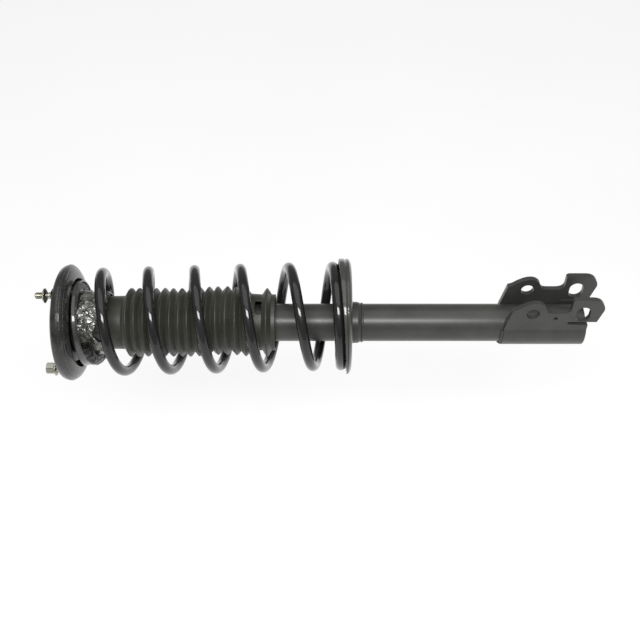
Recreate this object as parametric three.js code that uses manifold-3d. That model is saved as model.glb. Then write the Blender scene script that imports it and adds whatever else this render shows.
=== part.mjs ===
// A MacPherson strut assembly, ready to fit: top mount, coil spring, dust boot, damper and knuckle bracket.
// Millimetres. The strut axis is the X axis: X = 0 is the mount's body-side face and +X runs to the knuckle.
// +Z is the side that the knuckle bracket's ears point to.
import * as THREE from 'three';
import { mergeVertices } from 'three/addons/utils/BufferGeometryUtils.js';
import Module from 'manifold-3d';

const wasm = await Module();
wasm.setup();

// Driving dimensions.
const GAP = 0.3;              // running and assembly clearance between neighbours
const LEAN = 0.075;           // lean of the upper spring seat, as a slope
const LEAN_SIDE = new THREE.Vector3(0, Math.SQRT1_2, Math.SQRT1_2); // the seat's edge on this side sits nearer the body
const ROUND = 36;             // segments round a large turned piece
const SMALL_ROUND = 20;       // segments round a small turned piece

const MOUNT_R = 69.5;
const RECESS_R = 53;
const PLATE_THICK = 5.5;
const MOUNT_DEPTH = 20.5;
const SHELL_LEAN = 0.03;      // the mount's underside leans less than the seat
const BUSH_HOLE_R = 24;
const STUD_R = 4;
const STUD_CIRCLE_R = 55;
const STUD_ANGLES = [-11, 109, 229]; // degrees from +Z towards +Y
const STUD_TIP = -20;
const STUD_FOOT = 7.5;
const BOSS_TOP = -0.9;
const NUT_FACE = -7.2;
const NUT_LENGTH = 11.8;

const SEAT_PLANE = 22.3;      // where the upper seat's body-side face crosses the strut axis
const SEAT_R = 50.4;
const SLEEVE_R = 36;
const SLEEVE_BORE_R = 33.7;
const SLEEVE_START = 17;
const SLEEVE_END = 57;

const WIRE_R = 6.25;
// The spring's centre line: turns from the first full coil's top, place along the strut, coil radius.
const COIL_ROWS = [
  [-0.64, 35.2, 44.3], [-0.5, 37.8, 44.5], [-0.25, 42.3, 50.8], [0, 47.6, 58.9], [0.25, 61, 59.2],
  [1, 102.2, 59.2], [2, 157, 59.2], [3, 211.6, 59.2], [4, 269.4, 59.2], [4.5, 299.4, 59],
  [5, 321.6, 58.75], [5.5, 332, 58.75], [6, 333.8, 58.75],
];
const COIL_LEAN = 0.035;      // the spring's own axis moves this far to +Z per millimetre of length
const COIL_LEAN_START = 22;

const BOOT_START = 46;
const BOOT_END = 254;
const BOOT_NECK_R = 32;
const BOOT_PEAK_R = 41.5;
const BOOT_VALLEY_R = 36.5;
const BOOT_BORE_R = 34.7;
const BOOT_CUFF_R = 33.7;
const FOLDS = 14;
const FIRST_FOLD = 81.6;
const FOLD_PITCH = 9.8;
const FOLD_PITCH_GROWTH = 0.127;
const LAST_FOLD = 244;

const ROD_R = 10;
const ROD_NECK_R = 6;
const ROD_TOP = -14.5;
const ROD_SHOULDER = 12;
const PISTON_FACE = 258;
const ROD_END = 288;

const TUBE_R = 22.5;
const TUBE_BORE_R = 20;
const TUBE_TOP = 225;
const TUBE_END = 619;
const CYLINDER_R = 16.5;
const CYLINDER_BORE_R = 15;
const GUIDE_END = 250;

const DISH_R = 69;
const DISH_OFFSET = 10;       // the lower seat's centre lies this far to +Z of the strut axis
const DISH_BACK = 343.8;
const DISH_SHEET = 3;

const WRAP_R = 26.1;
const EAR_SHEET = 6;          // the ears are doubled, so they are thicker than the wrap
const EAR_FACE = 23.5;        // from the strut axis to each ear's outer face
const EAR_HOLE_UPPER = { x: 553, z: 36.6, width: 15, length: 15 };
const EAR_HOLE_LOWER = { x: 610.8, z: 35.9, width: 16.4, length: 22.4 };
const EAR_HOLE_SMALL = { x: 580.2, z: 29.4, width: 5, length: 5 }; // in the near ear only

const finishes = {
  blackCoated: { color: 0x2b2b2b, roughness: 0.55, metalness: 0.1 },
  blackGloss: { color: 0x151515, roughness: 0.25, metalness: 0.1 },
  greyPaint: { color: 0x4f4f4d, roughness: 0.45, metalness: 0.2 },
  greySeat: { color: 0x6d6d6d, roughness: 0.45, metalness: 0.3 },
  rubber: { color: 0x34342f, roughness: 0.8, metalness: 0 },
  zinc: { color: 0xb9bbb8, roughness: 0.3, metalness: 0.9 },
  steel: { color: 0x8c8e90, roughness: 0.35, metalness: 0.9 },
  chrome: { color: 0xc8cacc, roughness: 0.15, metalness: 1 },
  film: { color: 0x9a9a98, roughness: 0.3, metalness: 0.1 },
  foam: { color: 0xb59a5a, roughness: 0.85, metalness: 0 },
};

const assembly = new THREE.Group();

// Turns any geometry into one indexed shell of positions only, with its faces pointing out.
function shell(geometry) {
  const bare = geometry.clone();
  bare.deleteAttribute('normal');
  bare.deleteAttribute('uv');
  const merged = mergeVertices(bare, 1e-3);
  const index = merged.index.array;
  const kept = [];
  for (let i = 0; i < index.length; i += 3) {
    const [a, b, c] = [index[i], index[i + 1], index[i + 2]];
    if (a !== b && b !== c && c !== a) {
      kept.push(a, b, c);
    }
  }
  merged.setIndex(signedVolume(merged, kept) < 0 ? kept.reverse() : kept);
  return merged;
}

function signedVolume(geometry, index) {
  const corners = [new THREE.Vector3(), new THREE.Vector3(), new THREE.Vector3()];
  let volume = 0;
  for (let i = 0; i < index.length; i += 3) {
    corners.forEach((corner, k) => corner.fromBufferAttribute(geometry.attributes.position, index[i + k]));
    volume += corners[0].dot(corners[1].clone().cross(corners[2])) / 6;
  }
  return volume;
}

function toManifold(geometry) {
  const closed = shell(geometry);
  const vertProperties = new Float32Array(closed.attributes.position.array);
  const triVerts = new Uint32Array(closed.index.array);
  return new wasm.Manifold(new wasm.Mesh({ numProp: 3, vertProperties, triVerts }));
}

function fromManifold(solid) {
  const mesh = solid.getMesh();
  const geometry = new THREE.BufferGeometry();
  geometry.setAttribute('position', new THREE.BufferAttribute(mesh.vertProperties, 3));
  geometry.setIndex(new THREE.BufferAttribute(mesh.triVerts, 1));
  return geometry;
}

function cut(geometry, ...tools) {
  return fromManifold(tools.reduce((solid, tool) => solid.subtract(toManifold(tool)), toManifold(geometry)));
}

function place(name, geometry, finish, group = assembly) {
  const mesh = new THREE.Mesh(shell(geometry), new THREE.MeshStandardMaterial(finishes[finish]));
  mesh.name = name;
  group.add(mesh);
  return mesh;
}

// A turned piece about the strut axis; the profile's points are [place along X, radius].
function turned(profile, segments = ROUND) {
  const closed = profile[0][1] === 0 ? profile : [...profile, profile[0]];
  const points = closed.map(([x, r]) => new THREE.Vector2(r, x));
  return new THREE.LatheGeometry(points, segments).rotateZ(-Math.PI / 2);
}

function ring(x0, x1, inner, outer, segments = ROUND) {
  return turned([[x0, inner], [x0, outer], [x1, outer], [x1, inner]], segments);
}

function rod(x0, x1, r, segments = SMALL_ROUND) {
  return new THREE.CylinderGeometry(r, r, x1 - x0, segments).rotateZ(-Math.PI / 2).translate((x0 + x1) / 2, 0, 0);
}

// A hexagonal nut body along X with a bore.
function hexRing(x0, x1, acrossFlats, bore) {
  const hexagon = new THREE.CylinderGeometry(acrossFlats / Math.sqrt(3), acrossFlats / Math.sqrt(3), x1 - x0, 6)
    .rotateZ(-Math.PI / 2)
    .translate((x0 + x1) / 2, 0, 0);
  return cut(hexagon, rod(x0 - 1, x1 + 1, bore));
}

// A smooth value between hand-set rows, read at turn t, by a cubic that never overshoots them.
function alongRows(rows, t, column) {
  const last = rows.length - 1;
  let i = 0;
  while (i < last - 1 && t > rows[i + 1][0]) {
    i += 1;
  }
  const slope = (k) => {
    const a = rows[Math.max(k - 1, 0)];
    const b = rows[Math.min(k + 1, last)];
    const left = k > 0 ? (rows[k][column] - a[column]) / (rows[k][0] - a[0]) : null;
    const right = k < last ? (b[column] - rows[k][column]) / (b[0] - rows[k][0]) : null;
    if (left === null || right === null) {
      return left ?? right;
    }
    return left * right <= 0 ? 0 : (2 * left * right) / (left + right);
  };
  const span = rows[i + 1][0] - rows[i][0];
  const s = (t - rows[i][0]) / span;
  const [p0, p1] = [rows[i][column], rows[i + 1][column]];
  const [m0, m1] = [slope(i) * span, slope(i + 1) * span];
  const s2 = s * s;
  const s3 = s2 * s;
  return (2 * s3 - 3 * s2 + 1) * p0 + (s3 - 2 * s2 + s) * m0 + (3 * s2 - 2 * s3) * p1 + (s3 - s2) * m1;
}

// Top mount: a rubber-coated steel shell whose underside leans with the upper spring seat.
function mountShell() {
  const profile = [
    [0, BUSH_HOLE_R], [0, 58], [1.4, 64], [4.6, 68.2], [8.4, MOUNT_R], [12.4, 69.2], [15.6, 66.4],
    [18.4, 61.4], [MOUNT_DEPTH - 0.4, 56], [MOUNT_DEPTH, RECESS_R + 1], [MOUNT_DEPTH - 0.6, RECESS_R],
    [PLATE_THICK, RECESS_R], [PLATE_THICK, BUSH_HOLE_R],
  ];
  const body = shell(turned(profile));
  const position = body.attributes.position;
  for (let i = 0; i < position.count; i += 1) {
    const point = new THREE.Vector3().fromBufferAttribute(position, i);
    const share = THREE.MathUtils.smoothstep(point.x, PLATE_THICK + 0.5, 20);
    position.setX(i, point.x - SHELL_LEAN * point.dot(LEAN_SIDE) * share);
  }
  let solid = toManifold(body);
  for (const angle of STUD_ANGLES) {
    const boss = turned([[BOSS_TOP, 0], [BOSS_TOP, 6.5], [0.5, 8.5], [2, 8.5], [2, 0]], SMALL_ROUND);
    solid = solid.add(toManifold(atStud(boss, angle)));
  }
  for (const angle of STUD_ANGLES) {
    const hole = rod(BOSS_TOP - 1, STUD_FOOT + GAP, STUD_R + GAP);
    solid = solid.subtract(toManifold(atStud(hole, angle)));
  }
  return fromManifold(solid);
}

function atStud(geometry, angle) {
  const turn = THREE.MathUtils.degToRad(angle);
  return geometry.translate(0, STUD_CIRCLE_R * Math.sin(turn), STUD_CIRCLE_R * Math.cos(turn));
}

function flangeNut() {
  const flange = turned([[NUT_FACE - 2.6, 7], [NUT_FACE - 1.2, 8.9], [NUT_FACE, 8.9], [NUT_FACE, 0],
    [NUT_FACE - 2.6, 0]].map(([x, r]) => [x, Math.max(r, STUD_R + GAP)]), SMALL_ROUND);
  const hexagon = hexRing(NUT_FACE - NUT_LENGTH, NUT_FACE - 1.5, 13, STUD_R + GAP);
  return fromManifold(toManifold(flange).add(toManifold(hexagon)));
}

// The low nut on the first stud: a thin flange that tapers both ways to its bore.
function coneNut() {
  return turned([[-11.6, STUD_R + GAP], [-11.6, 5.2], [-9.6, 8.3], [-8.5, 8.8], [-6.4, 5.2], [-6.4, STUD_R + GAP]],
    SMALL_ROUND);
}

function topMount() {
  place('mount_shell', mountShell(), 'blackCoated');
  place('mount_bushing', turned([[0.8, 11], [0.8, 23.7], [7, 23.7], [12.5, 19], [12.5, 11]]), 'rubber');
  place('inner_sleeve', ring(0.6, 11.7, ROD_NECK_R + GAP, 10.7, SMALL_ROUND), 'steel');
  place('top_washer', ring(-2.4, 0.2, ROD_NECK_R + GAP, 16.5, 32), 'zinc');
  place('rod_nut', hexRing(-11.7, -2.7, 19, ROD_NECK_R + GAP), 'zinc');
  STUD_ANGLES.forEach((angle, i) => {
    const stud = turned([[STUD_TIP, 0], [STUD_TIP, 3], [STUD_TIP + 1.2, STUD_R], [STUD_FOOT, STUD_R],
      [STUD_FOOT, 0]], 16);
    place(`mount_stud_${i + 1}`, atStud(stud, angle), 'zinc');
    const nut = i === 0 ? coneNut() : flangeNut();
    place(`flange_nut_${i + 1}`, atStud(nut, angle), 'zinc');
  });
  place('bearing_top_race', ring(5.8, 8.4, 27, 46), 'steel');
}

function damperRod() {
  place('piston_rod', turned([
    [ROD_TOP, 0], [ROD_TOP, ROD_NECK_R - 1], [ROD_TOP + 1, ROD_NECK_R], [ROD_SHOULDER, ROD_NECK_R],
    [ROD_SHOULDER, ROD_R], [PISTON_FACE, ROD_R], [PISTON_FACE, ROD_NECK_R], [ROD_END, ROD_NECK_R], [ROD_END, 0],
  ], SMALL_ROUND), 'chrome');
  place('rebound_stop', ring(252, 257.7, ROD_R + GAP, 14.4, SMALL_ROUND), 'rubber');
  place('damper_piston', ring(PISTON_FACE + GAP, 280, ROD_NECK_R + GAP, CYLINDER_BORE_R - GAP, SMALL_ROUND), 'steel');
  place('piston_nut', hexRing(280.4, 286, 17, ROD_NECK_R + GAP), 'steel');
  const ribs = [[20, 17], [28, 21.5], [36, 19], [44, 21.5], [52, 18.5], [60, 20.5], [68, 16.5], [80, 14]];
  place('bump_stop', turned([[20, ROD_R + GAP], ...ribs, [80, ROD_R + GAP]], 32), 'foam');
}

// Everything that turns on the bearing: upper seat, insulator, sleeve, spring and boot.
function springPerch() {
  place('bearing_cage', ring(8.8, 12, 34, 42), 'foam');
  place('bearing_lower_race', ring(12.4, 15.2, 27, 46), 'steel');
  place('boot_sleeve', ring(SLEEVE_START, SLEEVE_END, SLEEVE_BORE_R, SLEEVE_R), 'blackCoated');
  place('film_wrap', ring(26, 55, SLEEVE_R + GAP, SLEEVE_R + 1), 'film');
  const leaning = new THREE.Group();
  const leanAxis = new THREE.Vector3(1, 0, 0).cross(LEAN_SIDE).negate();
  leaning.quaternion.setFromAxisAngle(leanAxis, -Math.atan(LEAN));
  leaning.position.x = SEAT_PLANE;
  assembly.add(leaning);
  place('upper_spring_seat', turned([
    [0, 38], [0, SEAT_R - 2], [1, SEAT_R - 0.5], [2.4, SEAT_R], [5.4, SEAT_R],
    [5.4, SEAT_R - 2.1], [2.2, SEAT_R - 2.6], [2.2, 38],
  ]), 'greySeat', leaning);
  place('spring_insulator', ring(2.5, 4.2, 39.5, 47.4), 'rubber', leaning);
  place('coil_spring', coil(), 'blackGloss');
  place('dust_boot', boot(), 'rubber');
}

class CoilPath extends THREE.Curve {
  getPoint(share, target = new THREE.Vector3()) {
    const first = COIL_ROWS[0][0];
    const turns = first + share * (COIL_ROWS[COIL_ROWS.length - 1][0] - first);
    const x = alongRows(COIL_ROWS, turns, 1);
    const radius = alongRows(COIL_ROWS, turns, 2);
    // Turn 0 is on the lean side and the wire runs round by the -Y side.
    const angle = Math.PI / 4 - turns * 2 * Math.PI;
    const offset = COIL_LEAN * (x - COIL_LEAN_START);
    return target.set(x, radius * Math.sin(angle), radius * Math.cos(angle) + offset);
  }
}

function coil() {
  const section = new THREE.Shape();
  section.absarc(0, 0, WIRE_R, 0, Math.PI * 2);
  return new THREE.ExtrudeGeometry(section, { steps: 120, curveSegments: 4, extrudePath: new CoilPath() });
}

function boot() {
  const outer = [[BOOT_START, BOOT_NECK_R], [75, BOOT_NECK_R]];
  for (let k = 0; k < FOLDS; k += 1) {
    const peak = FIRST_FOLD + k * FOLD_PITCH + ((k * (k - 1)) / 2) * FOLD_PITCH_GROWTH;
    const half = (FOLD_PITCH + k * FOLD_PITCH_GROWTH) / 2;
    outer.push([peak - half, BOOT_VALLEY_R], [peak, BOOT_PEAK_R]);
  }
  outer.push([224, BOOT_VALLEY_R], [226, BOOT_CUFF_R + 1.5], [LAST_FOLD - 6, BOOT_CUFF_R + 1.5]);
  outer.push([LAST_FOLD, BOOT_PEAK_R], [LAST_FOLD + 6, BOOT_CUFF_R], [BOOT_END, BOOT_CUFF_R]);
  const inner = [[BOOT_END, BOOT_CUFF_R - 1.6], [LAST_FOLD - 6, BOOT_CUFF_R - 1.2], [224, BOOT_BORE_R - 2],
    [80, BOOT_BORE_R - 1], [72, BOOT_NECK_R - 1.6], [BOOT_START, BOOT_NECK_R - 1.6]];
  return turned([...outer, ...inner], 30);
}

// Everything that slides: the damper's tube with its lower seat and its bracket.
function strutBody() {
  place('strut_tube', ring(TUBE_TOP, TUBE_END, TUBE_BORE_R, TUBE_R), 'greyPaint');
  place('rod_seal', ring(TUBE_TOP + 0.4, TUBE_TOP + 4, ROD_R + GAP, TUBE_BORE_R - GAP, 32), 'rubber');
  place('rod_guide', ring(TUBE_TOP + 4.4, GUIDE_END, ROD_R + GAP, TUBE_BORE_R - GAP, 32), 'steel');
  place('pressure_cylinder', ring(GUIDE_END + GAP, 596, CYLINDER_BORE_R, CYLINDER_R, 32), 'steel');
  place('base_valve', turned([[596.4, 0], [596.4, 18.5], [603, 18.5], [603, 0]], 32), 'steel');
  place('tube_cap', turned([[TUBE_END - 8.6, 0], [TUBE_END - 8.6, 19.2],
    [TUBE_END - 2, 19.2], [TUBE_END - 0.6, 16], [TUBE_END - 0.2, 0]], 32), 'greyPaint');
  place('lower_spring_seat', lowerSeat(), 'greyPaint');
  place('seat_collar', turned([
    [DISH_BACK + GAP, TUBE_R + GAP], [DISH_BACK + GAP, 25], [352.4, 24.6], [354, 24.1], [356, 23.3],
    [356, TUBE_R + GAP],
  ]), 'greyPaint');
  place('knuckle_bracket', knuckleBracket(), 'greyPaint');
}

function lowerSeat() {
  const front = DISH_BACK - DISH_SHEET;
  const rimEdge = 333.8;
  const dish = shell(turned([
    [front, 0], [front, 64.2], [339.4, 65.9], [rimEdge, 66.3], [rimEdge, DISH_R], [339.8, DISH_R],
    [342.6, 66.8], [DISH_BACK, 62.5], [DISH_BACK, 0],
  ]));
  const position = dish.attributes.position;
  const point = new THREE.Vector3();
  for (let i = 0; i < position.count; i += 1) {
    point.fromBufferAttribute(position, i);
    if (point.x < rimEdge + 1) {
      const edge = rimEdge - (0.075 * point.dot(LEAN_SIDE));
      position.setX(i, THREE.MathUtils.clamp(edge, 328.6, 338.2));
    }
  }
  return cut(dish.translate(0, 0, DISH_OFFSET), rod(320, 360, TUBE_R + GAP, ROUND));
}

// A flat outline in X and Z, extruded along Y from y0 to y1.
function slab(shape, y0, y1, curveSegments = 6) {
  return new THREE.ExtrudeGeometry(shape, { depth: y1 - y0, bevelEnabled: false, curveSegments })
    .rotateX(Math.PI / 2)
    .translate(0, y1, 0);
}

function slotTool({ x, z, width, length }, y1 = 40) {
  const r = width / 2;
  const reach = (length - width) / 2;
  const shape = new THREE.Shape();
  shape.absarc(x, z + reach, r, 0, Math.PI);
  shape.absarc(x, z - reach, r, Math.PI, Math.PI * 2);
  return slab(shape, -40, y1, 10);
}

// The ears' side outline, with two lobes for the knuckle bolts and a relief slot under the lower lobe.
function earOutline() {
  const shape = new THREE.Shape();
  const low = -40;
  shape.moveTo(524, low);
  shape.lineTo(522.8, 12);
  shape.lineTo(529.5, 41.5);
  shape.lineTo(534, 43);
  shape.quadraticCurveTo(554, 60, 565, 48.6);
  shape.bezierCurveTo(568.5, 44, 567, 37.5, 575, 37.5);
  shape.lineTo(587, 37.5);
  shape.bezierCurveTo(596, 38, 596.3, 43, 596.3, 47);
  shape.lineTo(596.3, 54.2);
  shape.quadraticCurveTo(596.3, 58.2, 600, 58.2);
  shape.lineTo(619, 58.2);
  shape.bezierCurveTo(628, 58.2, 634.2, 51, 634.2, 43);
  shape.lineTo(629, 24);
  shape.lineTo(597, 24);
  shape.absarc(597, 22, 2, Math.PI / 2, Math.PI * 1.5);
  shape.lineTo(619.5, 19);
  shape.lineTo(619.5, low);
  return shape;
}

// The bracket's section across the strut: a C that wraps the tube and runs up into two flat ears.
function bracketSection() {
  const inner = EAR_FACE - EAR_SHEET;
  const bore = TUBE_R + GAP;
  const earTop = 70;
  const outerAngle = Math.acos(EAR_FACE / WRAP_R);
  const innerAngle = Math.acos(inner / bore);
  const shape = new THREE.Shape();
  shape.moveTo(inner, earTop);
  shape.lineTo(EAR_FACE, earTop);
  shape.absarc(0, 0, WRAP_R, outerAngle, Math.PI - outerAngle, true);
  shape.lineTo(-EAR_FACE, earTop);
  shape.lineTo(-inner, earTop);
  shape.absarc(0, 0, bore, Math.PI - innerAngle, innerAngle, false);
  shape.lineTo(inner, earTop);
  return shape;
}

function knuckleBracket() {
  // The section is drawn in Y and Z and extruded along X.
  const wrap = new THREE.ExtrudeGeometry(bracketSection(), { depth: 130, bevelEnabled: false, curveSegments: 36 })
    .rotateX(Math.PI / 2)
    .rotateZ(Math.PI / 2)
    .translate(510, 0, 0);
  const body = toManifold(wrap).intersect(toManifold(slab(earOutline(), -40, 40)));
  const holes = [slotTool(EAR_HOLE_UPPER), slotTool(EAR_HOLE_LOWER), slotTool(EAR_HOLE_SMALL, 0)];
  return fromManifold(holes.reduce((solid, hole) => solid.subtract(toManifold(hole)), body));
}

topMount();
damperRod();
springPerch();
strutBody();

export default assembly;
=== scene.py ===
# %% [markdown]
# # A MacPherson strut, finished in Blender
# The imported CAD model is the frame: it says where every part is and which body it rides on. This script
# makes the visible surface of each part between its CAD solid's ends, so nothing has to be fitted
# afterwards.

# %% Load the frame
import math
import bmesh
import bpy
import numpy as np
from mathutils import Matrix, Vector


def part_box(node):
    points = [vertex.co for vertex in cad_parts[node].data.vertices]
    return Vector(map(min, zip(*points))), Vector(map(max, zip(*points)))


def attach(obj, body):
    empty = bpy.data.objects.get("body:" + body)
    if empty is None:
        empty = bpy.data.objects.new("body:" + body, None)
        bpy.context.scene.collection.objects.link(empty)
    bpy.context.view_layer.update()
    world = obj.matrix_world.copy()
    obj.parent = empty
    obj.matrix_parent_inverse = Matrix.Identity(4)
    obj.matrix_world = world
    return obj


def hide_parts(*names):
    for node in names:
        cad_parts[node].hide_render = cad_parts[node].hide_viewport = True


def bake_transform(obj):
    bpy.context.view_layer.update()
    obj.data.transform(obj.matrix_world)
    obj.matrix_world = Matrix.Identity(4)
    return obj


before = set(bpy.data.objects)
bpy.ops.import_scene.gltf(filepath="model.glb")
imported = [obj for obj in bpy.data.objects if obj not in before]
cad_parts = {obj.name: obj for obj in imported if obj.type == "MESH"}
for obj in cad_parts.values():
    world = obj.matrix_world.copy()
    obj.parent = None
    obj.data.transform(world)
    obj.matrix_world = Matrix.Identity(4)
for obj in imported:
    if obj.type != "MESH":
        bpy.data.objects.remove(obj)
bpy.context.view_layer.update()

# %% [markdown]
# ## Sizes
# The strut axis is the X axis and +Z is the side of the knuckle bracket's ears. Lengths are in millimetres
# until a mesh is made. `span` reads where a CAD node starts, where it ends and how far it reaches from the
# axis.

# %% Reading sizes from the frame
MM = 0.001


def span(node):
    low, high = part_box(node)
    return low.x / MM, high.x / MM, (high.y - low.y) / 2 / MM


# The spring pushes a little off the axis, so its seats lean: LEAN is the slope, and LEAN_SIDE the way they
# face.
LEAN = 0.075
SHELL_LEAN = 0.03
LEAN_SIDE = np.array([0.0, math.sqrt(0.5), math.sqrt(0.5)])
RECESS_R = 53.0
STUD_ANGLES = [-11.0, 109.0, 229.0]
STUD_CIRCLE_R = 55.0
WIRE_R = 6.25
# Each row is turns of wire, place along the strut and radius of the wire's centre line.
COIL_ROWS = np.array([
    [-0.64, 35.2, 44.3], [-0.5, 37.8, 44.5], [-0.25, 42.3, 50.8], [0, 47.6, 58.9], [0.25, 61, 59.2],
    [1, 102.2, 59.2], [2, 157, 59.2], [3, 211.6, 59.2], [4, 269.4, 59.2], [4.5, 299.4, 59],
    [5, 321.6, 58.75], [5.5, 332, 58.75], [6, 333.8, 58.75],
])
COIL_LEAN = 0.035
COIL_LEAN_START = 22.0
DISH_OFFSET = 10.0
print("strut tube from, to and radius:", span("strut_tube"))

# %% [markdown]
# ## Turned parts
# Most of a strut is turned, pressed or rolled round an axis, so one function turns a section into a mesh. A
# ring of the section may give a plain number or one value for each angle: that is how a hexagon and a
# thread are made with the same function as a plain tube. Every corner of a real part has a small radius,
# which is what catches the light, so `rounded` swaps each corner of a section for a short curve.

# %% Sections and turned surfaces
def unit(vector):
    return vector / max(np.linalg.norm(vector), 1e-9)


ROUND_STEPS = 5


def rounded(corners):
    """corners: (x, r, fillet) round a closed section. Each becomes a curve that starts fillet away."""
    points = []
    for i, (x, r, fillet) in enumerate(corners):
        here = np.array((x, r), float)
        if fillet == 0:
            points.append(tuple(here))
            continue
        before = np.array(corners[i - 1][:2], float)
        after = np.array(corners[(i + 1) % len(corners)][:2], float)
        start = here + unit(before - here) * fillet
        end = here + unit(after - here) * fillet
        for s in np.linspace(0, 1, ROUND_STEPS):
            points.append(tuple((1 - s) ** 2 * start + 2 * s * (1 - s) * here + s * s * end))
    return points


def angles_of(segments):
    return np.linspace(0, 2 * math.pi, segments, endpoint=False)


def turn(rings, segments=160, centre=(0.0, 0.0)):
    """Points of a surface turned about X, in mm, as an array of rings by segments by 3."""
    angles = angles_of(segments)
    x = np.array([np.broadcast_to(ring[0], segments) for ring in rings], float)
    r = np.array([np.broadcast_to(ring[1], segments) for ring in rings], float)
    return np.stack([x, r * np.sin(angles) + centre[0], r * np.cos(angles) + centre[1]], axis=-1)


def surface(points, closed=True, keep=None):
    """A bmesh over a grid of points that closes round its second index, and round its first if closed."""
    rows, columns = points.shape[:2]
    mesh = bmesh.new()
    grid = [[mesh.verts.new(point) for point in row] for row in points * MM]
    for i in range(rows if closed else rows - 1):
        for j in range(columns):
            if keep is None or keep(i, j):
                i2, j2 = (i + 1) % rows, (j + 1) % columns
                mesh.faces.new((grid[i][j], grid[i][j2], grid[i2][j2], grid[i2][j]))
    bmesh.ops.remove_doubles(mesh, verts=mesh.verts, dist=1e-7)
    bmesh.ops.recalc_face_normals(mesh, faces=mesh.faces)
    return mesh


def finish_mesh(name, mesh, material, angle=35):
    data = bpy.data.meshes.new(name)
    mesh.to_mesh(data)
    mesh.free()
    data.materials.append(material)
    data.polygons.foreach_set("use_smooth", [True] * len(data.polygons))
    data.set_sharp_from_angle(angle=math.radians(angle))
    piece = bpy.data.objects.new(name, data)
    bpy.context.scene.collection.objects.link(piece)
    return piece


def settle(piece, body, slot, *nodes):
    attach(piece, body)
    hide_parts(*nodes)
    print(piece.name, "rides on", body, "with", len(piece.data.polygons), "faces")
    return piece


def turned_piece(name, rings, material, body, slot, nodes, segments=160, closed=True, centre=(0.0, 0.0),
                 reshape=None):
    points = turn(rings, segments, centre)
    if reshape is not None:
        points = reshape(points)
    return settle(finish_mesh(name, surface(points, closed), material), body, slot, *nodes)


# %% [markdown]
# ## Materials
# A finish is what the maker did to a surface, so each one is named for that. `linear` turns an sRGB hex
# colour into the linear numbers that shaders use, and `add` puts one node in a tree with its settings and
# links. Patterns are sized in millimetres: a noise of scale s has features about 1 / s metres across.

# %% Helpers for materials
def linear(hex_colour):
    channels = [int(hex_colour[i:i + 2], 16) / 255 for i in (1, 3, 5)]
    return tuple(c / 12.92 if c <= 0.04045 else ((c + 0.055) / 1.055) ** 2.4 for c in channels) + (1.0,)


def per_mm(size_mm):
    return 1.0 / (size_mm * MM)


def add(tree, kind, values=None, links=None, **settings):
    node = tree.nodes.new(kind)
    for setting, value in settings.items():
        setattr(node, setting, value)
    for socket, value in (values or {}).items():
        node.inputs[socket].default_value = value
    for socket, source in (links or {}).items():
        tree.links.new(source, node.inputs[socket])
    return node


def new_finish(name, **shader_values):
    """An empty material with its shader and its object coordinates."""
    material = bpy.data.materials.new(name)
    material.use_nodes = True
    tree = material.node_tree
    shader = tree.nodes["Principled BSDF"]
    for socket, value in shader_values.items():
        shader.inputs[socket.replace("_", " ")].default_value = value
    place = add(tree, "ShaderNodeTexCoord").outputs["Object"]
    return material, tree, shader, place


def mottle(tree, place, size_mm, low, high, detail=4.0, roughness=0.6):
    """A soft noise read between two of its levels, as a 0 to 1 mask."""
    settings = {"Scale": per_mm(size_mm), "Detail": detail, "Roughness": roughness}
    noise = add(tree, "ShaderNodeTexNoise", settings, {"Vector": place})
    return add(tree, "ShaderNodeMapRange", {"From Min": low, "From Max": high},
               {"Value": noise.outputs["Fac"]}).outputs["Result"]


def tint(tree, shader, mask, dark, light):
    """The base colour runs between two hex colours by a mask."""
    ramp = add(tree, "ShaderNodeValToRGB", links={"Fac": mask})
    ramp.color_ramp.elements[0].color = linear(dark)
    ramp.color_ramp.elements[1].color = linear(light)
    tree.links.new(ramp.outputs["Color"], shader.inputs["Base Color"])


def between(tree, mask, low, high):
    return add(tree, "ShaderNodeMapRange", {"To Min": low, "To Max": high}, {"Value": mask}).outputs["Result"]


def roughen(tree, shader, mask, low, high):
    """The roughness runs between two values by a mask."""
    tree.links.new(between(tree, mask, low, high), shader.inputs["Roughness"])


def bumps(tree, shader, height, depth_mm, strength):
    bump = add(tree, "ShaderNodeBump", {"Distance": depth_mm * MM, "Strength": strength}, {"Height": height})
    tree.links.new(bump.outputs["Normal"], shader.inputs["Normal"])


def grain(tree, shader, place, size_mm, detail, depth_mm, strength, roughness=0.5):
    """Bumps from a noise."""
    settings = {"Scale": per_mm(size_mm), "Detail": detail, "Roughness": roughness}
    noise = add(tree, "ShaderNodeTexNoise", settings, {"Vector": place})
    bumps(tree, shader, noise.outputs["Fac"], depth_mm, strength)


# %% [markdown]
# ### Satin grey stove enamel
# The tube, lower seat and bracket are dipped or sprayed in a thin grey enamel over mill-finish steel. The
# eye reads a soft broad highlight, a slight orange peel and paler rub marks where the paint is thin. The
# lower seat was pressed from polished sheet, so its coat is glossier and its rim catches a hard glint.

# %% Enamel on the damper and its pressings
def make_enamel(name, gloss, haze_of_coat):
    material, tree, shader, place = new_finish(name, Coat_Weight=gloss, Coat_Roughness=haze_of_coat,
                                               Specular_IOR_Level=0.15)
    tint(tree, shader, mottle(tree, place, 38, 0.35, 0.7), "#343432", "#40403d")
    roughen(tree, shader, mottle(tree, place, 6, 0.3, 0.75), 0.34, 0.46)
    grain(tree, shader, place, 1.6, 2.0, 0.05, 0.6)
    return material


ENAMEL = make_enamel("satin grey stove enamel", 0.5, 0.31)
SEAT_ENAMEL = make_enamel("glossy grey enamel on the lower seat", 1.0, 0.1)

# %% [markdown]
# ### Gloss black powder coat
# Spring wire is shot-blasted, then coated with a thick gloss powder that flows as it bakes. It is almost
# black with a hard, narrow highlight, and the flow leaves a faint orange peel.

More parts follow.
